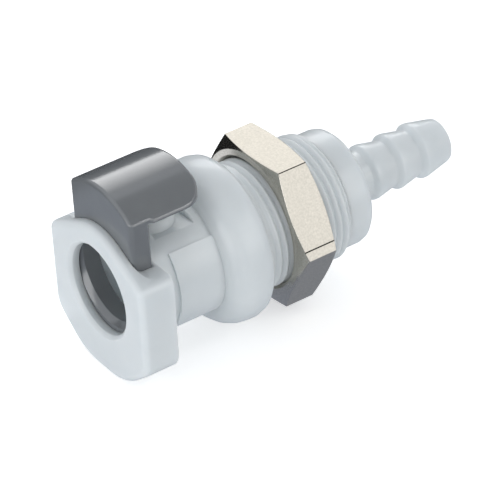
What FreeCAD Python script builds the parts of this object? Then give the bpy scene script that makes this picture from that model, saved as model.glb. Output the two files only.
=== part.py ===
import FreeCAD, Part
import math
import os

# Panel-mount quick disconnect coupling body with a thumb latch and a hose barb.
# Millimetres. X runs along the flow axis from the mating face to the hose barb, Z is up and
# the thumb pad is on top. The origin is on the axis, in the plane of the flange's panel face.

# Panel thread and nut: 11/16-24 thread, 13/16 in across the flats
thread_r = 17.46 / 2
thread_length = 13.4
thread_end_chamfer = 0.7
nut_wall = 1.59
nut_thickness = 5.35
panel_gap = 3.4
nut_bore_clearance = 0.05
nut_face_inset = 0.22
nut_chamfer_angle = 18.0
nut_bore_chamfer = 0.45

# Moulded body outside: flange, waist and mating block
flange_length = 6.6
flange_overhang = 2.47
flange_rim_round = 1.9
flange_crown_back = 2.7
body_r = 8.0
waist_length = 8.9
rail_height = 0.3
rail_angle = 43.5
rail_front_gap = 2.35
block_length = 5.0
block_half_width = 10.5
block_bottom = 12.25
bottom_half_width = 4.5
bottom_round = 9.0
side_bottom = 7.5
side_corner_round = 3.5
shoulder_z = 5.0
shoulder_round = 1.3
crown_r = 9.25
block_edge_round = 0.9
ledge_z = 5.6
ledge_cove = 1.6
front_wall = 1.5

# Moulded body inside, from the mating face to the valve chamber
mouth_r = 6.25
mouth_chamfer = 0.5
mouth_depth = 8.1
seal_r = 4.75
seal_depth = 7.6
throat_r = 3.3
throat_length = 3.2
bore_cone_angle = 45.0
chamber_r = 6.0

# Thumb latch
latch_thick = 3.0
slot_clearance = 0.05
latch_lift = 1.4
latch_travel = 1.4
latch_half_width = 6.9
ear_half_width = 7.6
ear_top = 4.4
aperture_clearance = 0.05
aperture_bevel = 0.7
latch_bottom_rib = 3.5
latch_foot_round = 3.0
slot_floor_clearance = 0.15
pad_half_width = 7.2
pad_arch_r = 11.2
pad_top = 15.0
pad_thick = 1.6
pad_side_height = 0.3
pad_rear_gap = 0.9
pad_corner_round = 3.4
pad_edge_round = 0.5
flare_round = 0.4
leg_edge_round = 0.7

# Latch return spring and its seats
latch_spring_r = 1.95
latch_spring_wire_r = 0.24
latch_spring_coils = 5.0
platform_z = 6.95
platform_front_gap = 1.75
platform_rear_gap = 1.2
spring_pocket_depth = 0.8
spring_pocket_clearance = 0.2
spring_boss_wall = 0.7
spring_boss_height = 1.75
spring_seat_drop = 0.6
spring_spigot_clearance = 0.15
spring_spigot_length = 1.2
spring_end_gap = 0.03

# Valve poppet with its ring and spring
valve_travel = 3.0
guide_clearance = 0.08
guide_fin_thick = 1.1
guide_overlap = 0.9
poppet_head_r = 4.95
poppet_back_thick = 1.3
ring_wire_r = 0.65
ring_centre_r = 4.2
ring_seat_gap = 0.05
ring_groove_gap = 0.03
groove_lip = 0.45
poppet_spigot_clearance = 0.25
poppet_spigot_length = 3.0
valve_spring_r = 3.4
valve_spring_wire_r = 0.33
valve_spring_coils = 4.5

# Hose barb for tube of 6.4 bore
collar_r = 8.0
collar_length = 3.9
collar_round = 1.2
plug_clearance = 0.05
plug_length = 1.0
flow_r = 2.35
stem_r = 3.35
stem_length = 3.2
barb_crest_r = 3.82
barb_root_r = 3.25
barb_count = 3
barb_pitch = 3.95
barb_rise = 0.75
barb_land = 0.45
tip_r = 2.98
tip_length = 4.0
tip_round = 0.6

# Chords that draw each turned round, the flange's dome and the section of the poppet's ring
round_chords = 3
dome_chords = 5
ring_chords = 8

# Places along the axis that follow from the lengths
panel_face_x = 0.0
flange_front_x = panel_face_x - flange_length
block_rear_x = flange_front_x - waist_length
face_x = block_rear_x - block_length
slot_front_x = face_x + front_wall
slot_rear_x = slot_front_x + latch_thick + 2 * slot_clearance
latch_front_x = slot_front_x + slot_clearance
latch_rear_x = latch_front_x + latch_thick
pad_rear_x = flange_front_x - pad_rear_gap
mouth_end_x = face_x + mouth_depth
cone_slope = math.tan(math.radians(bore_cone_angle))
seal_front_x = mouth_end_x + (mouth_r - seal_r) / cone_slope
seal_end_x = seal_front_x + seal_depth
throat_front_x = seal_end_x + (seal_r - throat_r) / cone_slope
seat_front_x = throat_front_x + throat_length
seat_rear_x = seat_front_x + (chamber_r - throat_r) / cone_slope
body_end_x = panel_face_x + thread_length
nut_front_x = panel_face_x + panel_gap
nut_rear_x = nut_front_x + nut_thickness
plug_front_x = body_end_x - plug_length
collar_end_x = body_end_x + collar_length
barb_start_x = collar_end_x + stem_length
last_crest_x = barb_start_x + (barb_count - 1) * barb_pitch + barb_rise + barb_land
tip_x = last_crest_x + tip_length

# Places across the axis that follow from the sizes
flange_r = thread_r + flange_overhang
nut_flats = 2 * (thread_r + nut_wall)
nut_face_r = 0.5 * nut_flats - nut_face_inset
aperture_r = mouth_r + aperture_clearance
latch_bottom_z = latch_lift - aperture_r - latch_bottom_rib
slot_floor_z = latch_bottom_z - latch_travel - slot_floor_clearance
pad_arch_z = pad_top - pad_arch_r
pad_side_z = pad_arch_z + math.sqrt(pad_arch_r**2 - pad_half_width**2) - pad_side_height
pocket_floor_z = platform_z - spring_pocket_depth
spring_seat_z = pad_top - pad_thick - spring_seat_drop
spring_x = 0.5 * (latch_rear_x + pad_rear_x)
ring_seat_distance = ring_wire_r + ring_seat_gap
ring_x = seat_front_x + (ring_centre_r - throat_r) / cone_slope + ring_seat_distance * math.sqrt(2)
head_front_x = ring_x - ring_wire_r - ring_groove_gap
head_rear_x = ring_x + ring_wire_r + ring_groove_gap
poppet_back_x = head_rear_x + poppet_back_thick
groove_r = ring_centre_r - ring_wire_r - ring_groove_gap


def vec(x, y, z):
    return FreeCAD.Vector(x, y, z)


def in_xz(u, v):
    """A profile point given as (along the axis, radius)."""
    return vec(u, 0, v)


def in_yz(u, v):
    """A section point given as (across, up)."""
    return vec(0, u, v)


def in_xy(u, v):
    """A plan point given as (along the axis, across)."""
    return vec(u, v, 0)


def rounded_wire(corners, place):
    """Closed wire through corners (u, v, radius), each one rounded by an arc of its radius."""
    points = [vec(u, v, 0) for u, v, radius in corners]
    starts = []
    mids = []
    ends = []
    for i, (u, v, radius) in enumerate(corners):
        here = points[i]
        back = (points[i - 1] - here).normalize()
        ahead = (points[(i + 1) % len(points)] - here).normalize()
        half = 0.5 * back.getAngle(ahead)
        cut = radius / math.tan(half)
        inward = (back + ahead).normalize() if radius else vec(0, 0, 0)
        starts.append(here + back * cut)
        ends.append(here + ahead * cut)
        mids.append(here + inward * (radius / math.sin(half) - radius))
    edges = []
    for i, (u, v, radius) in enumerate(corners):
        arc_points = [place(p.x, p.y) for p in (starts[i], mids[i], ends[i])]
        if radius:
            edges.append(Part.Arc(*arc_points).toShape())
        following = starts[(i + 1) % len(points)]
        if ends[i].distanceToPoint(following) > 1e-6:
            edges.append(Part.makeLine(arc_points[2], place(following.x, following.y)))
    return Part.Wire(edges)


def chorded(corners):
    """Points of a profile of (x, radius, corner radius), with its rounds drawn by a few chords."""
    points = []
    for i, (x, r, radius) in enumerate(corners):
        here = in_xz(x, r)
        if not radius:
            points.append(here)
            continue
        back = (in_xz(*corners[i - 1][:2]) - here).normalize()
        ahead = (in_xz(*corners[(i + 1) % len(corners)][:2]) - here).normalize()
        half = 0.5 * back.getAngle(ahead)
        centre = here + (back + ahead).normalize() * (radius / math.sin(half))
        start = here + back * (radius / math.tan(half)) - centre
        end = here + ahead * (radius / math.tan(half)) - centre
        sweep = math.pi - 2 * half
        for k in range(round_chords + 1):
            angle = sweep * k / round_chords
            spoke = start * math.sin(sweep - angle) + end * math.sin(angle)
            points.append(centre + spoke * (1 / math.sin(sweep)))
    return points


def turned(corners):
    """Solid turned about the flow axis from a profile of (x, radius, corner radius)."""
    points = chorded(corners)
    face = Part.Face(Part.makePolygon(points + points[:1]))
    return face.revolve(vec(0, 0, 0), vec(1, 0, 0), 360)


def slab(corners, x0, x1):
    """Section of (y, z, corner radius) drawn out along the axis from x0 to x1."""
    face = Part.Face(rounded_wire(corners, in_yz))
    face.translate(vec(x0, 0, 0))
    return face.extrude(vec(x1 - x0, 0, 0))


def rod_x(radius, x0, x1, z=0.0):
    return Part.makeCylinder(radius, x1 - x0, vec(x0, 0, z), vec(1, 0, 0))


def rod_z(radius, x, z0, z1):
    return Part.makeCylinder(radius, z1 - z0, vec(x, 0, z0), vec(0, 0, 1))


def coil(mean_r, wire_r, coils, length):
    """Helical spring along Z from z = 0 to length, ruled through eight-sided sections of the wire."""
    run = length - 2 * wire_r
    count = round(coils * 12)
    sections = []
    for i in range(count + 1):
        turn = 2 * math.pi * coils * i / count
        outward = vec(math.cos(turn), math.sin(turn), 0)
        ahead = vec(-math.sin(turn), math.cos(turn), run / (2 * math.pi * coils * mean_r))
        across = ahead.normalize().cross(outward)
        centre = outward * mean_r + vec(0, 0, wire_r + run * i / count)
        corners = []
        for k in range(8):
            angle = 0.25 * math.pi * k
            corners.append(centre + (outward * math.cos(angle) + across * math.sin(angle)) * wire_r)
        sections.append(Part.makePolygon(corners + corners[:1]))
    return Part.makeLoft(sections, True, True)


def edges_where(shape, test):
    """The edges whose middle point passes the test."""
    chosen = []
    for edge in shape.Edges:
        middle = edge.valueAt(0.5 * (edge.FirstParameter + edge.LastParameter))
        if test(middle, edge):
            chosen.append(edge)
    return chosen


def block_corners():
    """Outline of the mating block: flat bottom and sides, and shoulders that run up to the crown."""
    shoulder_angle = math.atan2(shoulder_z, block_half_width)
    shoulder_reach = math.hypot(shoulder_z, block_half_width)
    slope_normal = shoulder_angle + math.acos(crown_r / shoulder_reach)
    apex_z = crown_r / math.sin(slope_normal)
    bevel_y = block_half_width - bottom_half_width
    bevel_z = block_bottom - side_bottom
    bevel_angle = math.atan2(bevel_z, bevel_y)
    bottom_cut = bottom_round * math.tan(0.5 * bevel_angle)
    side_cut = side_corner_round * math.tan(0.25 * math.pi - 0.5 * bevel_angle)
    room = 0.98 * math.hypot(bevel_y, bevel_z) / (bottom_cut + side_cut)
    scale = min(1.0, room, 0.95 * bottom_half_width / bottom_cut)
    return [
        (-bottom_half_width, -block_bottom, scale * bottom_round),
        (bottom_half_width, -block_bottom, scale * bottom_round),
        (block_half_width, -side_bottom, scale * side_corner_round),
        (block_half_width, shoulder_z, shoulder_round),
        (0, apex_z, crown_r),
        (-block_half_width, shoulder_z, shoulder_round),
        (-block_half_width, -side_bottom, scale * side_corner_round),
    ]


def ledge_cutter():
    """Space above the ledge behind the front wall, with a cove at the foot of the wall."""
    rear_x = block_rear_x + 1
    top_z = block_bottom
    side = Part.Face(
        rounded_wire(
            [
                (slot_front_x, ledge_z, ledge_cove),
                (rear_x, ledge_z, 0),
                (rear_x, top_z, 0),
                (slot_front_x, top_z, 0),
            ],
            in_xz,
        )
    )
    side.translate(vec(0, -2 * block_half_width, 0))
    return side.extrude(vec(0, 4 * block_half_width, 0))


def mating_block():
    block = slab(block_corners(), face_x, block_rear_x)
    front_edges = edges_where(block, lambda middle, edge: abs(middle.x - face_x) < 1e-6)
    return block.makeFillet(block_edge_round, front_edges).cut(ledge_cutter())


def flange_dome():
    """Profile of the flange's front: a quarter of an ellipse from the waist up to the crown."""
    run = flange_length - flange_crown_back
    rise = flange_r - body_r
    corners = []
    for i in range(dome_chords + 1):
        angle = 0.5 * math.pi * i / dome_chords
        corners.append((-flange_crown_back - run * math.cos(angle), body_r + rise * math.sin(angle), 0))
    return corners


def outer_turning():
    """Waist, domed flange and threaded barrel of the moulded body."""
    return turned(
        [
            (slot_rear_x, 0, 0),
            (slot_rear_x, body_r, 0),
        ]
        + flange_dome()
        + [
            (panel_face_x, flange_r, flange_rim_round),
            (panel_face_x, thread_r, 0),
            (body_end_x - thread_end_chamfer, thread_r, 0),
            (body_end_x, thread_r - thread_end_chamfer, 0),
            (body_end_x, 0, 0),
        ]
    )


def side_rails():
    """Low raised bands along both sides of the waist."""
    front_x = block_rear_x + rail_front_gap
    section = rounded_wire(
        [
            (front_x, body_r - rail_height, 0),
            (front_x, body_r + rail_height, 0),
            (flange_front_x + rail_height, body_r + rail_height, 0),
            (flange_front_x + rail_height, body_r - rail_height, 0),
        ],
        in_xz,
    )
    band = Part.Face(section).revolve(vec(0, 0, 0), vec(1, 0, 0), 2 * rail_angle)
    near = band.copy()
    near.rotate(vec(0, 0, 0), vec(1, 0, 0), 90 - rail_angle)
    far = band.copy()
    far.rotate(vec(0, 0, 0), vec(1, 0, 0), 270 - rail_angle)
    return near.fuse(far)


def flow_way():
    """Bore from the mating face through the seal bore, throat and seat to the valve chamber."""
    return turned(
        [
            (face_x - 1, 0, 0),
            (face_x - 1, mouth_r + mouth_chamfer, 0),
            (face_x, mouth_r + mouth_chamfer, 0),
            (face_x + mouth_chamfer, mouth_r, 0),
            (mouth_end_x, mouth_r, 0),
            (seal_front_x, seal_r, 0),
            (seal_end_x, seal_r, 0),
            (throat_front_x, throat_r, 0),
            (seat_front_x, throat_r, 0),
            (seat_rear_x, chamber_r, 0),
            (body_end_x + 1, chamber_r, 0),
            (body_end_x + 1, 0, 0),
        ]
    )


def latch_slot():
    """Slot from the top of the block: narrow above the ears, wide below, with a round-cornered floor."""
    neck = latch_half_width + slot_clearance
    wide = ear_half_width + slot_clearance
    ceiling = ear_top + slot_clearance
    above = pad_top
    corners = [
        (-wide, slot_floor_z, latch_foot_round),
        (wide, slot_floor_z, latch_foot_round),
        (wide, ceiling, 0),
        (neck, ceiling, 0),
        (neck, above, 0),
        (-neck, above, 0),
        (-neck, ceiling, 0),
        (-wide, ceiling, 0),
    ]
    return slab(corners, slot_front_x, slot_rear_x)


def spring_pocket_r():
    return latch_spring_r + latch_spring_wire_r + spring_pocket_clearance


def spring_boss():
    """Round boss on the waist under the thumb pad, which holds the latch spring's foot."""
    return rod_z(spring_pocket_r() + spring_boss_wall, spring_x, 0, platform_z + spring_boss_height)


def spring_platform():
    """Space over the flat around the boss, with the blind pocket in the boss."""
    front_x = block_rear_x + platform_front_gap
    rear_x = flange_front_x - platform_rear_gap
    flat = Part.makeBox(rear_x - front_x, 2 * body_r, body_r)
    flat.translate(vec(front_x, -body_r, platform_z))
    pocket = rod_z(spring_pocket_r(), spring_x, pocket_floor_z, platform_z + body_r)
    return flat.cut(spring_boss()).fuse(pocket)


def make_body():
    shell = outer_turning().fuse([mating_block(), side_rails(), spring_boss()])
    return shell.cut([flow_way(), latch_slot(), spring_platform()]).removeSplitter()


def arch_face(radius, half_width, floor_z):
    """Section under an arch about the pad's centre line, with straight sides down to floor_z."""
    side_z = pad_arch_z + math.sqrt(radius**2 - half_width**2)
    left = in_yz(-half_width, side_z)
    right = in_yz(half_width, side_z)
    low_left = in_yz(-half_width, floor_z)
    low_right = in_yz(half_width, floor_z)
    edges = [
        Part.makeLine(low_left, left),
        Part.Arc(left, in_yz(0, pad_arch_z + radius), right).toShape(),
        Part.makeLine(right, low_right),
        Part.makeLine(low_right, low_left),
    ]
    return Part.Face(Part.Wire(edges))


def vault(radius, half_width, floor_z, x0, x1):
    face = arch_face(radius, half_width, floor_z)
    face.translate(vec(x0, 0, 0))
    return face.extrude(vec(x1 - x0, 0, 0))


def plan_prism(corners, z0, z1):
    """Plan of (x, y, corner radius) drawn up from z0 to z1."""
    face = Part.Face(rounded_wire(corners, in_xy))
    face.translate(vec(0, 0, z0))
    return face.extrude(vec(0, 0, z1 - z0))


def mirrored_plan(half_corners):
    """Corners on the near side, from front to rear, and their mirror images on the far side."""
    return half_corners + [(x, -y, radius) for x, y, radius in reversed(half_corners)]


def thumb_pad():
    """Arched top of the latch: as wide as the legs in front, flared and round-cornered behind."""
    flare = pad_half_width - latch_half_width
    plan = mirrored_plan(
        [
            (latch_front_x, -latch_half_width, leg_edge_round),
            (latch_rear_x, -latch_half_width, flare_round),
            (latch_rear_x + flare, -pad_half_width, flare_round),
            (pad_rear_x, -pad_half_width, pad_corner_round),
        ]
    )
    outer = vault(pad_arch_r, 1.1 * pad_half_width, pad_side_z, latch_front_x, pad_rear_x)
    pad = outer.common(plan_prism(plan, pad_side_z, pad_top + 1))

    def top_edge(middle, edge):
        return abs(math.hypot(middle.y, middle.z - pad_arch_z) - pad_arch_r) < 1e-3

    pad = pad.makeFillet(pad_edge_round, edges_where(pad, top_edge))
    inner_half_width = pad_half_width - pad_thick
    floor_z = pad_side_z - pad_thick
    hollow = vault(pad_arch_r - pad_thick, inner_half_width, floor_z, latch_rear_x, pad_rear_x + 1)
    return pad.cut(hollow)


def latch_plate():
    """Upright plate with rounded edges, and the wider ears that stop it inside the block."""
    plan = mirrored_plan(
        [
            (latch_front_x, -latch_half_width, leg_edge_round),
            (latch_rear_x, -latch_half_width, leg_edge_round),
        ]
    )
    plate = plan_prism(plan, 0, pad_side_z + 0.5 * pad_side_height)
    ears = slab(
        [
            (-ear_half_width, latch_bottom_z, latch_foot_round),
            (ear_half_width, latch_bottom_z, latch_foot_round),
            (ear_half_width, ear_top, 0),
            (-ear_half_width, ear_top, 0),
        ],
        latch_front_x,
        latch_rear_x,
    )
    return plate.fuse(ears)


def aperture_cutter():
    """Round hole for the mating insert, bevelled on the side that the insert comes from."""
    hole = rod_x(aperture_r, latch_front_x - 1, latch_rear_x + 1, latch_lift)
    bevel = Part.makeCone(
        aperture_r + aperture_bevel,
        aperture_r,
        aperture_bevel,
        vec(latch_front_x, 0, latch_lift),
        vec(1, 0, 0),
    )
    return hole.fuse(bevel)


def latch_spring_seat():
    """Round seat under the pad with the spigot that locates the spring."""
    spigot_r = latch_spring_r - latch_spring_wire_r - spring_spigot_clearance
    seat = rod_z(spring_pocket_r(), spring_x, spring_seat_z, pad_top - 0.5 * pad_thick)
    spigot = rod_z(spigot_r, spring_x, spring_seat_z - spring_spigot_length, spring_seat_z)
    return seat.fuse(spigot)


def make_thumb_latch():
    latch = thumb_pad().fuse([latch_plate(), latch_spring_seat()])
    return latch.cut(aperture_cutter()).removeSplitter()


def make_latch_spring():
    length = spring_seat_z - spring_end_gap - pocket_floor_z
    spring = coil(latch_spring_r, latch_spring_wire_r, latch_spring_coils, length)
    spring.translate(vec(spring_x, 0, pocket_floor_z))
    return spring


def make_panel_nut():
    """Hexagon nut with both faces chamfered to a circle."""
    corner_r = nut_flats / math.sqrt(3)
    corners = []
    for i in range(6):
        angle = math.radians(60 * i)
        corners.append((corner_r * math.cos(angle), corner_r * math.sin(angle), 0))
    hexagon = slab(corners, nut_front_x, nut_rear_x)
    drop = (corner_r - nut_face_r) * math.tan(math.radians(nut_chamfer_angle))
    bore_r = thread_r + nut_bore_clearance
    ring = turned(
        [
            (nut_front_x + nut_bore_chamfer, bore_r, 0),
            (nut_front_x, bore_r + nut_bore_chamfer, 0),
            (nut_front_x, nut_face_r, 0),
            (nut_front_x + drop, corner_r, 0),
            (nut_rear_x - drop, corner_r, 0),
            (nut_rear_x, nut_face_r, 0),
            (nut_rear_x, bore_r + nut_bore_chamfer, 0),
            (nut_rear_x - nut_bore_chamfer, bore_r, 0),
        ]
    )
    return hexagon.common(ring)


def barb_corners():
    """Outer profile of the barbs, from the stem to the tip."""
    corners = []
    for i in range(barb_count):
        foot_x = barb_start_x + i * barb_pitch
        foot_r = stem_r if i == 0 else barb_root_r
        corners.append((foot_x, foot_r, 0))
        corners.append((foot_x + barb_rise, barb_crest_r, 0))
        corners.append((foot_x + barb_rise + barb_land, barb_crest_r, 0))
    corners.append((tip_x, tip_r, tip_round))
    return corners


def make_hose_barb():
    """Rear fitting: plug that closes the valve chamber, collar, stem and barbs, with one bore."""
    plug_r = chamber_r - plug_clearance
    return turned(
        [
            (plug_front_x, flow_r, 0),
            (plug_front_x, plug_r, 0),
            (body_end_x, plug_r, 0),
            (body_end_x, collar_r, 0),
            (collar_end_x, collar_r, collar_round),
            (collar_end_x, stem_r, 0),
        ]
        + barb_corners()
        + [(tip_x, flow_r, 0)]
    )


def make_valve_poppet():
    """Poppet: finned guide in the throat, coned head with the ring groove, spring spigot behind."""
    nose_r = throat_r - 2 * guide_clearance
    spigot_r = valve_spring_r - valve_spring_wire_r - poppet_spigot_clearance
    lip_r = groove_r + groove_lip
    core_r = guide_fin_thick
    front_x = seat_front_x - valve_travel - guide_overlap
    head = turned(
        [
            (front_x, 0, 0),
            (front_x, core_r, 0),
            (seat_front_x, core_r, 0),
            (seat_front_x, nose_r - groove_lip, 0),
            (head_front_x, lip_r, 0),
            (head_front_x, groove_r, 0),
            (head_rear_x, groove_r, 0),
            (head_rear_x, poppet_head_r, 0),
            (poppet_back_x, poppet_head_r, 0),
            (poppet_back_x, spigot_r, 0),
            (poppet_back_x + poppet_spigot_length, spigot_r, 0),
            (poppet_back_x + poppet_spigot_length, 0, 0),
        ]
    )
    guide_r = throat_r - guide_clearance
    guide = rod_x(guide_r, front_x, seat_front_x)
    fin = Part.makeBox(seat_front_x - front_x, 2 * guide_r, guide_fin_thick)
    fin.translate(vec(front_x, -guide_r, -0.5 * guide_fin_thick))
    cross_fin = fin.copy()
    cross_fin.rotate(vec(0, 0, 0), vec(1, 0, 0), 90)
    return head.fuse(guide.common(fin.fuse(cross_fin))).removeSplitter()


def make_poppet_ring():
    """Rubber ring, turned from a section of equal chords."""
    corners = []
    for i in range(ring_chords):
        angle = 2 * math.pi * (i + 0.5) / ring_chords
        along = ring_x + ring_wire_r * math.cos(angle)
        corners.append((along, ring_centre_r + ring_wire_r * math.sin(angle), 0))
    return turned(corners)


def make_valve_spring():
    front_x = poppet_back_x + spring_end_gap
    spring = coil(valve_spring_r, valve_spring_wire_r, valve_spring_coils, plug_front_x - front_x)
    spring.rotate(vec(0, 0, 0), vec(0, 1, 0), 90)
    spring.translate(vec(front_x, 0, 0))
    return spring


NODES = {
    "body": make_body,
    "thumb_latch": make_thumb_latch,
    "latch_spring": make_latch_spring,
    "panel_nut": make_panel_nut,
    "hose_barb": make_hose_barb,
    "valve_poppet": make_valve_poppet,
    "poppet_o_ring": make_poppet_ring,
    "valve_spring": make_valve_spring,
}

os.makedirs("parts", exist_ok=True)
for name, make in NODES.items():
    shape = make()
    solid = shape.Solids[0]
    solid.exportStep("parts/" + name + ".step")
    print(name, len(shape.Solids), solid.isValid(), round(solid.Volume, 2))
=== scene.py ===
import math

import bmesh
import bpy
from mathutils import Matrix, Vector


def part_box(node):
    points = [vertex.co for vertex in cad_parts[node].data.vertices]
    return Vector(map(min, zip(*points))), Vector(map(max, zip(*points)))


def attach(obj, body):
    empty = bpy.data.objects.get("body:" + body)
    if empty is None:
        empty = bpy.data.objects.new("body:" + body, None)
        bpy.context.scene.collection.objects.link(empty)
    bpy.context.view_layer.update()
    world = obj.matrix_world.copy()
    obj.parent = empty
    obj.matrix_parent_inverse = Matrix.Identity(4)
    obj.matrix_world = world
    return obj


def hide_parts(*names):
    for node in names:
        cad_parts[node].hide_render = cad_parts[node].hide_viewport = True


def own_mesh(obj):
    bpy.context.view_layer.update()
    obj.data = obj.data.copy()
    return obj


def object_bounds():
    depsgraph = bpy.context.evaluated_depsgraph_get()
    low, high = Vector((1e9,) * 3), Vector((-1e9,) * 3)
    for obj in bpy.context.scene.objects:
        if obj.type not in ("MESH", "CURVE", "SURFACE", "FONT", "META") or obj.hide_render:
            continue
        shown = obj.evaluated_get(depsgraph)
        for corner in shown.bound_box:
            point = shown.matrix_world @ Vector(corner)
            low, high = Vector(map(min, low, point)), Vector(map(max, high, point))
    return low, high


bl_info = {
    "name": "Panel mount quick disconnect coupling",
    "version": (1, 0, 0),
    "blender": (4, 5, 0),
    "location": "3D View > Sidebar > Coupling",
    "description": "Finishes the moulded coupling body, its latch, nut, valve and hose barb",
    "category": "Object",
}

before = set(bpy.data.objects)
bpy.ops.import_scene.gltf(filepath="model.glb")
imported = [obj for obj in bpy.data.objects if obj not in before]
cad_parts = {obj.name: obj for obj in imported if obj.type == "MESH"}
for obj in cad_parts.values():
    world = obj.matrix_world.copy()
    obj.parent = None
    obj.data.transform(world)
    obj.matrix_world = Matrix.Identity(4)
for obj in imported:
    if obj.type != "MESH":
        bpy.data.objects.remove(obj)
CAD_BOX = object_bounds()
MM = 0.001
TURN = 2 * math.pi
# Nut across its flats, and the fine dark lines drawn into its colour: half their width, and how
# far the second lies from its corner, all in mm
NUT_FLATS = 20.64
DARK_LINE_HALF_WIDTH = 0.09
DARK_LINE_DROP = 1.25
# Points closer than this are one point, in mm
WELD_GAP = 0.0005
# The body's rounded edges all lie in front of this place along its axis, in mm
ROUNDED_END = -2.0
# Sockets of a colour Mix node: factor, two colours and result
MIX_FACTOR, MIX_A, MIX_B, MIX_RESULT = 0, 6, 7, 2
# The photograph's viewpoint: directions to its right and ahead, and the camera's place in metres
VIEW_RIGHT = (0.817, -0.574, -0.052)
VIEW_AHEAD = (0.446, 0.688, -0.573)
VIEW_PLACE = (-0.22014, -0.34396, 0.28235)
SENSOR_WIDTH = 36


def linear(hex_colour):
    """Linear RGBA of an sRGB hex colour."""
    out = []
    for i in (0, 2, 4):
        c = int(hex_colour[i : i + 2], 16) / 255
        out.append(c / 12.92 if c <= 0.04045 else ((c + 0.055) / 1.055) ** 2.4)
    return (out[0], out[1], out[2], 1.0)


def per_mm(size_mm):
    """Texture scale that gives features of this size in millimetres."""
    return 1 / (size_mm * MM)


# ---- materials


def add(tree, kind, inputs=None, **settings):
    """One node with its settings; inputs are values, or sockets to link from."""
    made = tree.nodes.new(kind)
    for key, value in settings.items():
        setattr(made, key, value)
    for name, value in (inputs or {}).items():
        if isinstance(value, bpy.types.NodeSocket):
            tree.links.new(value, made.inputs[name])
        else:
            made.inputs[name].default_value = value
    return made


def dark_line_mask(tree, y, z):
    """1 on a line that runs along X through (y, z) in millimetres, else 0."""
    place = add(tree, "ShaderNodeTexCoord")
    flat = add(
        tree,
        "ShaderNodeVectorMath",
        {0: place.outputs["Object"], 1: (0, 1, 1)},
        operation="MULTIPLY",
    )
    away = add(
        tree,
        "ShaderNodeVectorMath",
        {0: flat.outputs["Vector"], 1: (0, y * MM, z * MM)},
        operation="DISTANCE",
    )
    return add(
        tree,
        "ShaderNodeMath",
        {0: away.outputs["Value"], 1: DARK_LINE_HALF_WIDTH * MM},
        operation="LESS_THAN",
    ).outputs[0]


def surface(name, shader_inputs, bump, tones=None):
    """Principled material; bump = (size mm, depth mm), tones = (hex a, hex b, size mm)."""
    material = bpy.data.materials.new(name)
    material.use_nodes = True
    tree = material.node_tree
    tree.nodes.clear()
    place = add(tree, "ShaderNodeTexCoord")
    shader = add(tree, "ShaderNodeBsdfPrincipled", shader_inputs)
    if tones:
        low, high, size = tones
        cloud = add(
            tree,
            "ShaderNodeTexNoise",
            {"Vector": place.outputs["Object"], "Scale": per_mm(size), "Detail": 3.0},
        )
        mix = add(
            tree,
            "ShaderNodeMix",
            {MIX_FACTOR: cloud.outputs["Fac"], MIX_A: linear(low), MIX_B: linear(high)},
            data_type="RGBA",
        )
        tree.links.new(mix.outputs[MIX_RESULT], shader.inputs["Base Color"])
    size, depth = bump
    grain = add(
        tree,
        "ShaderNodeTexNoise",
        {"Vector": place.outputs["Object"], "Scale": per_mm(size), "Detail": 4.0},
    )
    relief = add(tree, "ShaderNodeBump", {"Height": grain.outputs["Fac"], "Distance": depth * MM})
    tree.links.new(relief.outputs["Normal"], shader.inputs["Normal"])
    add(tree, "ShaderNodeOutputMaterial", {"Surface": shader.outputs["BSDF"]})
    return material


def natural_polypropylene():
    # Natural polypropylene, injection moulded in a satin tool: milky, cool white, light goes a
    # millimetre or two into it, and the skin has a soft broad gloss.
    colours = bpy.context.scene.coupling_colours
    return surface(
        "natural_polypropylene_moulded",
        {
            "Roughness": 0.3,
            "IOR": 1.49,
            "Subsurface Weight": 0.6,
            "Subsurface Radius": (1.0, 1.05, 1.1),
            "Subsurface Scale": 1.8 * MM,
        },
        tones=(colours.plastic_low, colours.plastic_high, 6.0),
        bump=(0.9, 0.004),
    )


def grey_acetal():
    # Grey acetal, moulded in a polished tool: opaque mid grey with a tight, wet-looking gloss.
    colours = bpy.context.scene.coupling_colours
    return surface(
        "grey_acetal_moulded",
        {"Roughness": 0.18, "IOR": 1.7},
        tones=(colours.latch_low, colours.latch_high, 3.0),
        bump=(0.8, 0.003),
    )


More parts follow.
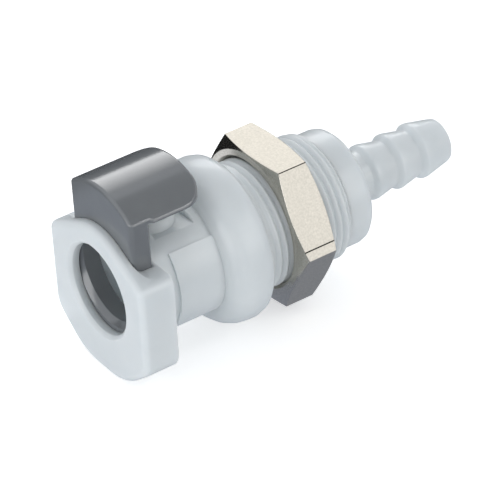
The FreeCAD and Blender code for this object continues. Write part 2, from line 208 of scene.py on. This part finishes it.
def nickel_plate():
    # Nickel-plated brass cut from drawn hexagon bar: a warm pale metal. The drawn flats keep a fine
    # grain under the plate and spread their reflections, the turned faces are smoother. A fine dark
    # line is drawn into the colour along one corner and another just above the next. The
    # grain is finer than the render can show, so it is drawn a quarter of a millimetre wide.
    colours = bpy.context.scene.coupling_colours
    material = surface(
        "nickel_plated_brass_drawn",
        {"Metallic": 1.0, "Roughness": 0.3},
        tones=(colours.nickel_low, colours.nickel_high, 0.25),
        bump=(0.22, 0.006),
    )
    tree = material.node_tree
    place = add(tree, "ShaderNodeTexCoord")
    facing = add(tree, "ShaderNodeSeparateXYZ", {"Vector": place.outputs["Normal"]})
    along = add(tree, "ShaderNodeMath", {0: facing.outputs["X"]}, operation="ABSOLUTE")
    finish = add(
        tree,
        "ShaderNodeMapRange",
        {
            "Value": along.outputs[0],
            "From Min": 0.3,
            "From Max": 0.7,
            "To Min": colours.flats_roughness,
            "To Max": colours.turned_roughness,
        },
    )
    shader = next(node for node in tree.nodes if node.type == "BSDF_PRINCIPLED")
    tree.links.new(finish.outputs["Result"], shader.inputs["Roughness"])
    # Fine dark lines drawn into the plate's colour: one along a corner, one on the flat just above
    # the next corner.
    corner_r = NUT_FLATS / math.sqrt(3)
    corner = dark_line_mask(tree, -corner_r / 2, NUT_FLATS / 2)
    second_line_y = DARK_LINE_DROP / 2 - corner_r
    second_line_z = DARK_LINE_DROP * math.sqrt(3) / 2
    second = dark_line_mask(tree, second_line_y, second_line_z)
    marks = add(tree, "ShaderNodeMath", {0: corner, 1: second}, operation="MAXIMUM")
    plate = shader.inputs["Base Color"].links[0].from_socket
    mix = add(
        tree,
        "ShaderNodeMix",
        {MIX_FACTOR: marks.outputs[0], MIX_A: plate, MIX_B: linear(colours.nickel_dark_line)},
        data_type="RGBA",
    )
    tree.links.new(mix.outputs[MIX_RESULT], shader.inputs["Base Color"])
    return material


def spring_steel():
    # Stainless spring wire, drawn: bright grey metal with the fine grain of the die.
    colours = bpy.context.scene.coupling_colours
    return surface(
        "stainless_spring_wire_drawn",
        {"Base Color": linear(colours.steel), "Metallic": 1.0, "Roughness": 0.28},
        bump=(0.08, 0.001),
    )


def white_acetal():
    # White acetal, moulded: denser white than the body and a little glossier.
    colours = bpy.context.scene.coupling_colours
    return surface(
        "white_acetal_moulded",
        {"Base Color": linear(colours.poppet), "Roughness": 0.3, "IOR": 1.48},
        bump=(0.8, 0.003),
    )


def ring_rubber():
    # Nitrile rubber, moulded: near black with a dull sheen.
    colours = bpy.context.scene.coupling_colours
    return surface(
        "nitrile_rubber_moulded",
        {"Base Color": linear(colours.rubber), "Roughness": 0.55, "IOR": 1.52},
        bump=(0.3, 0.002),
    )


# ---- meshes


def new_piece(name, mesh, material):
    """Object of one material, in the scene."""
    piece = bpy.data.objects.new(name, mesh)
    bpy.context.scene.collection.objects.link(piece)
    piece.data.materials.clear()
    piece.data.materials.append(material)
    return piece


def weigh_normals(piece):
    """Shading that keeps flats flat beside rounded edges."""
    weighing = piece.modifiers.new("weighted_normals", "WEIGHTED_NORMAL")
    weighing.keep_sharp = True
    weighing.weight = 50


def soften(mesh, angle_deg):
    """Smooth shading with every edge over this angle left sharp."""
    mesh.polygons.foreach_set("use_smooth", [True] * len(mesh.polygons))
    mesh.set_sharp_from_angle(angle=math.radians(angle_deg))
    mesh.update()


def welded_copy(node, name):
    """Copy of a CAD node's mesh with its split points joined."""
    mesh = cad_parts[node].data.copy()
    mesh.name = name
    work = bmesh.new()
    work.from_mesh(mesh)
    bmesh.ops.remove_doubles(work, verts=work.verts, dist=WELD_GAP * MM)
    work.to_mesh(mesh)
    work.free()
    return mesh


def mark_moulded_edges(mesh, angle_deg, end_x):
    """Bevel weight on edges over this angle in front of end_x, in mm."""
    work = bmesh.new()
    work.from_mesh(mesh)
    weight = work.edges.layers.float.new("bevel_weight_edge")
    for edge in work.edges:
        in_front = max(vert.co.x for vert in edge.verts) < end_x * MM
        if in_front and edge.calc_face_angle(0.0) > math.radians(angle_deg):
            edge[weight] = 1.0
    work.to_mesh(mesh)
    work.free()


def break_edges(piece, width_mm, angle_deg, limit="ANGLE"):
    """Small rounds on the edges that a mould or a tool never leaves sharp."""
    rounding = piece.modifiers.new("broken_edges", "BEVEL")
    rounding.width = width_mm * MM
    rounding.segments = 2
    rounding.limit_method = limit
    rounding.angle_limit = math.radians(angle_deg)
    rounding.use_clamp_overlap = True


def finished_node(node, name, material, body, angle_deg=30, edge_mm=0):
    """The CAD node's own form with clean shading and its finish."""
    mesh = welded_copy(node, name)
    soften(mesh, angle_deg)
    piece = new_piece(name, mesh, material)
    if edge_mm:
        break_edges(piece, edge_mm, angle_deg)
    weigh_normals(piece)
    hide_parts(node)
    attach(piece, body)


def swept_rings(rings):
    """Closed mesh through rings of points that all have the same count."""
    work = bmesh.new()
    rows = [[work.verts.new(p) for p in ring] for ring in rings]
    sides = len(rows[0])
    for a, b in zip(rows, rows[1:]):
        for i in range(sides):
            j = (i + 1) % sides
            work.faces.new((a[i], a[j], b[j], b[i]))
    work.faces.new(tuple(reversed(rows[0])))
    work.faces.new(tuple(rows[-1]))
    bmesh.ops.recalc_face_normals(work, faces=work.faces)
    mesh = bpy.data.meshes.new("swept")
    work.to_mesh(mesh)
    work.free()
    return mesh


def thread_groove(sizes):
    """Helical groove about the flow axis that leaves the panel thread's ridges."""
    crest = sizes.thread_radius
    pitch = sizes.thread_pitch
    steps = 72  # a turn
    half_mouth = 0.44 * pitch
    half_root = 0.08 * pitch
    flank_spread = 0.82  # of the mouth, for each groove's depth that the cutter stands proud
    proud = 0.25 * MM
    shallow = 0.1 * MM
    lead_in_steps = 0.75 * steps
    least_share = 0.03
    start = sizes.thread_start
    run = sizes.thread_end - start
    count = int(run / pitch * steps)
    rings = []
    for i in range(count + 1):
        turn = TURN * i / steps
        x = start + pitch * i / steps
        lead_in = min(1.0, i / lead_in_steps)
        depth = sizes.thread_depth * max(lead_in, least_share)
        flank = half_mouth
        if depth > shallow:
            flank = half_mouth * (1 + proud / depth * flank_spread)
        profile = (
            (x - flank, crest + proud),
            (x - half_root, crest - depth),
            (x + half_root, crest - depth),
            (x + flank, crest + proud),
        )
        rings.append([(u, r * math.cos(turn), r * math.sin(turn)) for u, r in profile])
    return swept_rings(rings)


def cut(mesh, cutter_mesh, name):
    """The mesh with the cutter taken out of it."""
    piece = bpy.data.objects.new(name, mesh)
    cutter = bpy.data.objects.new(name + "_cutter", cutter_mesh)
    for item in (piece, cutter):
        bpy.context.scene.collection.objects.link(item)
    step = piece.modifiers.new("cut", "BOOLEAN")
    step.operation = "DIFFERENCE"
    step.solver = "EXACT"
    step.object = cutter
    graph = bpy.context.evaluated_depsgraph_get()
    result = bpy.data.meshes.new_from_object(piece.evaluated_get(graph))
    bpy.data.objects.remove(piece)
    bpy.data.objects.remove(cutter)
    if len(result.polygons) < len(mesh.polygons) // 2:
        raise RuntimeError("the cut lost the piece: " + name)
    return result


def spring_wire(name, low, high, wire_r, axis, coils):
    """Spring in the box low..high along axis 0 (X) or 2 (Z), with closed and ground ends."""
    centre = (Vector(low) + Vector(high)) / 2
    mean_r = (high[1] - low[1]) / 2 - wire_r
    length = high[axis] - low[axis]
    dead = 0.9  # turns closed at each end
    ground = 0.6 * wire_r  # height of the wire's centre at the ground ends
    end_pitch = 1.9 * wire_r
    live = coils - 2 * dead
    live_pitch = (length - 2 * ground - 2 * dead * end_pitch) / live
    steps = 40  # a turn
    sides = 14  # round the wire
    count = int(coils * steps)
    path = []
    for i in range(count + 1):
        t = i / steps
        low_part = min(t, dead)
        mid_part = min(max(t - dead, 0), live)
        top_part = max(t - dead - live, 0)
        height = ground + (low_part + top_part) * end_pitch + mid_part * live_pitch
        path.append((t * TURN, height))
    rings = []
    for turn, height in path:
        out = Vector((math.cos(turn), math.sin(turn), 0))
        ring = []
        for k in range(sides):
            a = TURN * k / sides
            z = height + wire_r * math.sin(a)
            point = out * (mean_r + wire_r * math.cos(a))
            point.z = min(max(z, 0.0), length)
            ring.append(point)
        rings.append(ring)
    mesh = swept_rings(rings)
    if axis == 0:
        mesh.transform(Matrix.Rotation(math.radians(90), 4, "Y"))
        mesh.transform(Matrix.Translation((low[0], centre.y, centre.z)))
    else:
        mesh.transform(Matrix.Translation((centre.x, centre.y, low[2])))
    mesh.name = name
    soften(mesh, angle_deg=50)
    return mesh


# ---- the stage


def area_lamp(name, place, size, watts, colour):
    """Soft box aimed at the part."""
    data = bpy.data.lights.new(name, "AREA")
    data.shape = "RECTANGLE"
    data.size, data.size_y = size
    data.energy = watts
    data.color = linear(colour)[:3]
    lamp = bpy.data.objects.new(name, data)
    bpy.context.scene.collection.objects.link(lamp)
    lamp.location = place
    lamp.rotation_euler = (-Vector(place)).to_track_quat("-Z", "Y").to_euler()
    return lamp


def seen_rays(tree):
    """1 for rays from the camera, from reflections and through clear material, else 0."""
    path = add(tree, "ShaderNodeLightPath")
    seen = path.outputs["Is Camera Ray"]
    for kind in ("Is Glossy Ray", "Is Transmission Ray"):
        either = add(
            tree, "ShaderNodeMath", {0: seen, 1: path.outputs[kind]}, operation="MAXIMUM"
        )
        seen = either.outputs[0]
    return seen


def floor_paper():
    # Matt white paper sweep, lit by the room: even white that keeps a soft shadow.
    studio = bpy.context.scene.coupling_studio
    material = bpy.data.materials.new("white_paper_matt")
    material.use_nodes = True
    tree = material.node_tree
    tree.nodes.clear()
    paper = add(tree, "ShaderNodeBsdfDiffuse", {"Color": linear(studio.floor_colour)})
    lift = add(
        tree,
        "ShaderNodeMapRange",
        {
            "Value": seen_rays(tree),
            "To Min": studio.floor_bounce,
            "To Max": studio.floor_lift,
        },
    )
    glow = add(
        tree,
        "ShaderNodeEmission",
        {"Color": (1, 1, 1, 1), "Strength": lift.outputs["Result"]},
    )
    both = add(
        tree,
        "ShaderNodeAddShader",
        {0: paper.outputs["BSDF"], 1: glow.outputs["Emission"]},
    )
    add(tree, "ShaderNodeOutputMaterial", {"Surface": both.outputs["Shader"]})
    return material


def room_light():
    """World: even soft fill on surfaces, and a white room in what is seen and reflected."""
    studio = bpy.context.scene.coupling_studio
    world = bpy.data.worlds.new("studio_room")
    bpy.context.scene.world = world
    world.use_nodes = True
    tree = world.node_tree
    tree.nodes.clear()
    place = add(tree, "ShaderNodeTexCoord")
    parts = add(tree, "ShaderNodeSeparateXYZ", {"Vector": place.outputs["Generated"]})
    fill = add(
        tree,
        "ShaderNodeMapRange",
        {
            "Value": parts.outputs["Y"],
            "From Min": -1.0,
            "From Max": 1.0,
            "To Min": studio.near_fill,
            "To Max": studio.far_fill,
        },
    )
    strength = add(
        tree,
        "ShaderNodeMapRange",
        {
            "Value": seen_rays(tree),
            "To Min": fill.outputs["Result"],
            "To Max": studio.room_strength,
        },
    )
    back = add(
        tree,
        "ShaderNodeBackground",
        {"Color": linear(studio.room_colour), "Strength": strength.outputs["Result"]},
    )
    add(tree, "ShaderNodeOutputWorld", {"Surface": back.outputs["Background"]})


def reflected_card(name, low, high, glow, colour):
    """Card that only reflections see, from corner low to high; glow at its foot and top."""
    material = bpy.data.materials.new(name + "_paper")
    material.use_nodes = True
    tree = material.node_tree
    tree.nodes.clear()
    place = add(tree, "ShaderNodeTexCoord")
    parts = add(tree, "ShaderNodeSeparateXYZ", {"Vector": place.outputs["Object"]})
    strength = add(
        tree,
        "ShaderNodeMapRange",
        {
            "Value": parts.outputs["Z"],
            "From Min": low[2],
            "From Max": max(high[2], low[2] + MM),
            "To Min": glow[0],
            "To Max": glow[1],
        },
    )
    card = add(
        tree,
        "ShaderNodeEmission",
        {"Color": linear(colour), "Strength": strength.outputs["Result"]},
    )
    add(tree, "ShaderNodeOutputMaterial", {"Surface": card.outputs["Emission"]})
    corners = [low, (high[0], low[1], low[2]), high, (low[0], high[1], high[2])]
    mesh = bpy.data.meshes.new(name)
    mesh.from_pydata(corners, [], [(0, 1, 2, 3)])
    piece = new_piece(name, mesh, material)
    piece.visible_camera = False
    piece.visible_diffuse = False
    piece.visible_shadow = False
    piece.visible_transmission = False
    piece.visible_volume_scatter = False


# ---- settings


class CouplingSizes(bpy.types.PropertyGroup):
    thread_radius: bpy.props.FloatProperty(
        name="Thread radius",
        description="Outside radius of the panel thread",
        default=17.46 / 2 * MM,
        unit="LENGTH",
    )
    thread_pitch: bpy.props.FloatProperty(
        name="Thread pitch",
        description="Distance from ridge to ridge, 24 ridges to the inch",
        default=25.4 / 24 * MM,
        unit="LENGTH",
    )
    thread_depth: bpy.props.FloatProperty(
        name="Thread depth",
        description="Depth of the groove between the ridges",
        default=0.4 * MM,
        unit="LENGTH",
    )
    thread_start: bpy.props.FloatProperty(
        name="Thread start",
        description="Place along the axis where the groove begins, just behind the flange",
        default=0.75 * MM,
        unit="LENGTH",
    )
    thread_end: bpy.props.FloatProperty(
        name="Thread end",
        description="Place along the axis where the groove has run out over the end chamfer",
        default=14.2 * MM,
        unit="LENGTH",
    )
    latch_wire: bpy.props.FloatProperty(
        name="Latch spring wire",
        description="Radius of the latch spring's wire",
        default=0.24 * MM,
        unit="LENGTH",
    )
    valve_wire: bpy.props.FloatProperty(
        name="Valve spring wire",
        description="Radius of the valve spring's wire",
        default=0.33 * MM,
        unit="LENGTH",
    )


class CouplingColours(bpy.types.PropertyGroup):
    plastic_low: bpy.props.StringProperty(
        name="Body shade",
        description="sRGB hex of the darker cloud in the body plastic",
        default="CDD3D5",
    )
    plastic_high: bpy.props.StringProperty(
        name="Body light",
        description="sRGB hex of the lighter cloud in the body plastic",
        default="D9DEDF",
    )
    latch_low: bpy.props.StringProperty(
        name="Latch shade",
        description="sRGB hex of the darker latch tone",
        default="66696C",
    )
    latch_high: bpy.props.StringProperty(
        name="Latch light",
        description="sRGB hex of the lighter latch tone",
        default="6D7173",
    )
    nickel_low: bpy.props.StringProperty(
        name="Nut shade",
        description="sRGB hex of the darker speckle on the nut",
        default="A8A49A",
    )
    nickel_high: bpy.props.StringProperty(
        name="Nut light",
        description="sRGB hex of the lighter speckle on the nut",
        default="D2CDC3",
    )
    nickel_dark_line: bpy.props.StringProperty(
        name="Nut dark lines",
        description="sRGB hex of the fine dark lines on the nut",
        default="2E2C28",
    )
    flats_roughness: bpy.props.FloatProperty(
        name="Flats' roughness",
        description="Roughness of the nut's drawn flats",
        default=0.5,
    )
    turned_roughness: bpy.props.FloatProperty(
        name="Turned roughness",
        description="Roughness of the nut's turned faces",
        default=0.2,
    )
    steel: bpy.props.StringProperty(
        name="Spring wire",
        description="sRGB hex of the spring wire",
        default="C6C6C4",
    )
    poppet: bpy.props.StringProperty(
        name="Poppet",
        description="sRGB hex of the valve poppet",
        default="DCDDDB",
    )
    rubber: bpy.props.StringProperty(
        name="Ring",
        description="sRGB hex of the poppet's ring",
        default="1B1B1C",
    )


class CouplingStudio(bpy.types.PropertyGroup):
    floor_colour: bpy.props.StringProperty(
        name="Floor",
        description="sRGB hex of the floor paper",
        default="F4F4F4",
    )
    floor_bounce: bpy.props.FloatProperty(
        name="Floor bounce",
        description="Extra light that the white floor sends back up",
        default=0.2,
    )
    floor_lift: bpy.props.FloatProperty(
        name="Floor lift",
        description="Light that the paper adds to what is seen of it",
        default=0.45,
    )
    floor_reach: bpy.props.FloatProperty(
        name="Floor reach",
        description="Half width of the floor",
        default=6.0,
        unit="LENGTH",
    )
    room_colour: bpy.props.StringProperty(
        name="Room colour",
        description="sRGB hex of the room's light",
        default="F8FAFF",
    )
    near_fill: bpy.props.FloatProperty(
        name="Near fill",
        description="Strength of the room's light from the camera's side",
        default=0.48,
    )
    far_fill: bpy.props.FloatProperty(
        name="Far fill",
        description="Strength of the room's light from behind the part",
        default=0.8,
    )
    shade_glow: bpy.props.FloatProperty(
        name="Shade",
        description="Brightness of the table under the part in reflections",
        default=0.42,
    )
    shade_colour: bpy.props.StringProperty(
        name="Shade colour",
        description="sRGB hex of the shaded table in reflections",
        default="DDE8FF",
    )
    table_glow: bpy.props.FloatProperty(
        name="Table",
        description="Brightness of the table beside the nut in reflections",
        default=1.3,
    )
    table_colour: bpy.props.StringProperty(
        name="Table colour",
        description="sRGB hex of the table beside the nut in reflections",
        default="EEF2FA",
    )
    strip_glow: bpy.props.FloatProperty(
        name="Strip",
        description="Brightness of the dark strip behind the table",
        default=0.02,
    )
    ceiling_glow: bpy.props.FloatProperty(
        name="Ceiling",
        description="Brightness of the ceiling in reflections",
        default=0.35,
    )
    right_glow: bpy.props.FloatProperty(
        name="Right wall",
        description="Brightness of the wall at the right in reflections",
        default=2.1,
    )
    wall_glow_low: bpy.props.FloatProperty(
        name="Wall foot",
        description="Brightness at the foot of the wall in reflections",
        default=4.6,
    )
    wall_glow_high: bpy.props.FloatProperty(
        name="Wall top",
        description="Brightness at the top of the wall in reflections",
        default=0.4,
    )
    room_strength: bpy.props.FloatProperty(
        name="Room",
        description="Strength of the room where it is seen or reflected",
        default=1.0,
    )
    lens: bpy.props.FloatProperty(
        name="Lens",
        description="Focal length on a 36 mm sensor, in millimetres",
        default=279.4,
    )


# ---- operators


class COUPLING_OT_moulded_body(bpy.types.Operator):
    """Moulded body with the panel thread cut into its barrel"""

    bl_idname = "coupling.moulded_body"
    bl_label = "Moulded body"

    def execute(self, context):
        mesh = welded_copy("body", "threaded_body")
        mesh = cut(mesh, thread_groove(context.scene.coupling_sizes), "threaded_body")
        soften(mesh, angle_deg=40)
        mark_moulded_edges(mesh, angle_deg=30, end_x=ROUNDED_END)
        piece = new_piece("threaded_body", mesh, natural_polypropylene())
        break_edges(piece, width_mm=0.15, angle_deg=30, limit="WEIGHT")
        weigh_normals(piece)
        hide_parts("body")
        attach(piece, "housing")
        return {"FINISHED"}


class COUPLING_OT_hose_fitting(bpy.types.Operator):
    """Rear fitting with collar, stem and hose barbs"""

    bl_idname = "coupling.hose_fitting"
    bl_label = "Hose fitting"

    def execute(self, context):
        finished_node(
            "hose_barb",
            "moulded_hose_fitting",
            natural_polypropylene(),
            "housing",
            angle_deg=32,
            edge_mm=0.1,
        )
        return {"FINISHED"}


class COUPLING_OT_thumb_latch(bpy.types.Operator):
    """Thumb latch with its arched pad"""

    bl_idname = "coupling.thumb_latch"
    bl_label = "Thumb latch"

    def execute(self, context):
        finished_node(
            "thumb_latch",
            "moulded_thumb_latch",
            grey_acetal(),
            "latch",
            angle_deg=32,
            edge_mm=0.25,
        )
        return {"FINISHED"}


class COUPLING_OT_panel_nut(bpy.types.Operator):
    """Hexagon panel nut"""

    bl_idname = "coupling.panel_nut"
    bl_label = "Panel nut"

    def execute(self, context):
        finished_node(
            "panel_nut",
            "plated_panel_nut",
            nickel_plate(),
            "nut",
            angle_deg=12,
            edge_mm=0.05,
        )
        return {"FINISHED"}


class COUPLING_OT_springs(bpy.types.Operator):
    """Latch spring under the pad and valve spring behind the poppet"""

    bl_idname = "coupling.springs"
    bl_label = "Springs"

    def execute(self, context):
        sizes = context.scene.coupling_sizes
        steel = spring_steel()
        low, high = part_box("latch_spring")
        mesh = spring_wire("latch_coil", low, high, sizes.latch_wire, axis=2, coils=5.0)
        coil = new_piece("latch_coil", mesh, steel)
        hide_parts("latch_spring")
        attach(coil, "housing")
        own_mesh(coil)
        low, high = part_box("valve_spring")
        mesh = spring_wire("valve_coil", low, high, sizes.valve_wire, axis=0, coils=4.5)
        coil = new_piece("valve_coil", mesh, steel)
        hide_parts("valve_spring")
        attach(coil, "housing")
        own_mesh(coil)
        return {"FINISHED"}


class COUPLING_OT_valve(bpy.types.Operator):
    """Valve poppet and its ring"""

    bl_idname = "coupling.valve"
    bl_label = "Valve"

    def execute(self, context):
        finished_node(
            "valve_poppet", "moulded_poppet", white_acetal(), "valve"
        )
        finished_node(
            "poppet_o_ring",
            "moulded_ring",
            ring_rubber(),
            "valve",
            angle_deg=60,
        )
        return {"FINISHED"}


class COUPLING_OT_studio(bpy.types.Operator):
    """White floor, soft lights and the camera"""

    bl_idname = "coupling.studio"
    bl_label = "Studio"

    def lamps(self):
        """Soft boxes at the mouth's side, at and above the camera's right, and behind the part."""
        area_lamp("left_soft_box", (-0.63, -0.16, 0.14), (0.6, 0.34), 1.5, "FFFFFF")
        area_lamp("right_soft_box", (0.22, -0.6, 0.2), (0.5, 0.12), 0.36, "FFFDF8")
        area_lamp("high_soft_box", (0.29, -0.39, 0.43), (0.1, 0.1), 0.25, "FFFFFF")
        back = area_lamp("back_soft_box", (0.1, 0.3, 0.6), (0.3, 0.3), 1.15, "FFFFFF")
        back.visible_glossy = False

    def cards(self, floor_z):
        """What reflections see: the table, the room's dark parts and its bright walls."""
        studio = bpy.context.scene.coupling_studio
        reach = 0.6
        table_z = floor_z + 0.3 * MM
        table_near = -0.2
        shade_end = 0.012
        table_end = 0.036
        latch_end = -0.025
        wall_y = 0.45
        strip_top = 0.16
        wall_top = 0.75
        ceiling_right = 0.8
        ceiling_far = 0.25
        camera_y = -0.5
        shade = (studio.shade_glow, studio.shade_colour)
        table = (studio.table_glow, studio.table_colour)
        strip = (studio.strip_glow, studio.table_colour)
        for name, left, right, near, far, (glow, colour) in (
            ("shaded_table", -reach, reach, table_near, shade_end, shade),
            ("front_table", -reach, latch_end, shade_end, table_end, shade),
            ("nut_table", latch_end, reach, shade_end, table_end, table),
            ("far_table", -reach, reach, table_end, wall_y, strip),
        ):
            low, high = (left, near, table_z), (right, far, table_z)
            reflected_card(name, low, high, (glow, glow), colour)
        right_glow = (studio.right_glow, studio.right_glow)
        ceiling_glow = (studio.ceiling_glow, studio.ceiling_glow)
        strip_glow = (studio.strip_glow, studio.strip_glow)
        wall_glow = (studio.wall_glow_low, studio.wall_glow_high)
        for name, low, high, glow in (
            ("right_wall", (-0.1, camera_y, 0.03), (reach, camera_y, 0.45), right_glow),
            (
                "dark_ceiling",
                (0.0, camera_y, wall_top),
                (ceiling_right, ceiling_far, wall_top),
                ceiling_glow,
            ),
            ("dark_strip", (-reach, wall_y, table_z), (reach, wall_y, strip_top), strip_glow),
            ("bright_wall", (0.12, wall_y, strip_top), (0.5, wall_y, wall_top), wall_glow),
        ):
            reflected_card(name, low, high, glow, "FFFFFF")

    def execute(self, context):
        scene = context.scene
        studio = scene.coupling_studio
        scene.view_settings.view_transform = "Standard"
        floor_z = CAD_BOX[0].z
        reach = studio.floor_reach
        mesh = bpy.data.meshes.new("floor")
        sides = ((-reach, -reach), (reach, -reach), (reach, reach), (-reach, reach))
        mesh.from_pydata([(x, y, floor_z) for x, y in sides], [], [(0, 1, 2, 3)])
        floor = new_piece("floor", mesh, floor_paper())
        room_light()
        self.lamps()
        self.cards(floor_z)
        data = bpy.data.cameras.new("camera")
        data.lens = studio.lens
        data.sensor_width = SENSOR_WIDTH
        data.clip_start = 0.01
        camera = bpy.data.objects.new("camera", data)
        scene.collection.objects.link(camera)
        ahead = Vector(VIEW_AHEAD).normalized()
        up = Vector(VIEW_RIGHT).normalized().cross(ahead)
        right = ahead.cross(up)
        rows = Matrix((right, up, -ahead)).transposed().to_4x4()
        rows.translation = Vector(VIEW_PLACE)
        camera.matrix_world = rows
        scene.camera = camera
        return {"FINISHED"}


class COUPLING_PT_sidebar(bpy.types.Panel):
    bl_idname = "COUPLING_PT_sidebar"
    bl_label = "Coupling"
    bl_space_type = "VIEW_3D"
    bl_region_type = "UI"
    bl_category = "Coupling"

    def draw(self, context):
        for operator in OPERATORS:
            self.layout.operator(operator.bl_idname)


GROUPS = {
    "coupling_sizes": CouplingSizes,
    "coupling_colours": CouplingColours,
    "coupling_studio": CouplingStudio,
}
OPERATORS = (
    COUPLING_OT_moulded_body,
    COUPLING_OT_hose_fitting,
    COUPLING_OT_thumb_latch,
    COUPLING_OT_panel_nut,
    COUPLING_OT_springs,
    COUPLING_OT_valve,
    COUPLING_OT_studio,
)


def register():
    for name, group in GROUPS.items():
        bpy.utils.register_class(group)
        setattr(bpy.types.Scene, name, bpy.props.PointerProperty(type=group))
    for item in OPERATORS + (COUPLING_PT_sidebar,):
        bpy.utils.register_class(item)


def unregister():
    for item in reversed(OPERATORS + (COUPLING_PT_sidebar,)):
        bpy.utils.unregister_class(item)
    for name, group in reversed(list(GROUPS.items())):
        delattr(bpy.types.Scene, name)
        bpy.utils.unregister_class(group)


def main():
    register()
    bpy.ops.coupling.moulded_body()
    bpy.ops.coupling.hose_fitting()
    bpy.ops.coupling.thumb_latch()
    bpy.ops.coupling.panel_nut()
    bpy.ops.coupling.springs()
    bpy.ops.coupling.valve()
    bpy.ops.coupling.studio()


if __name__ == "__main__":
    main()
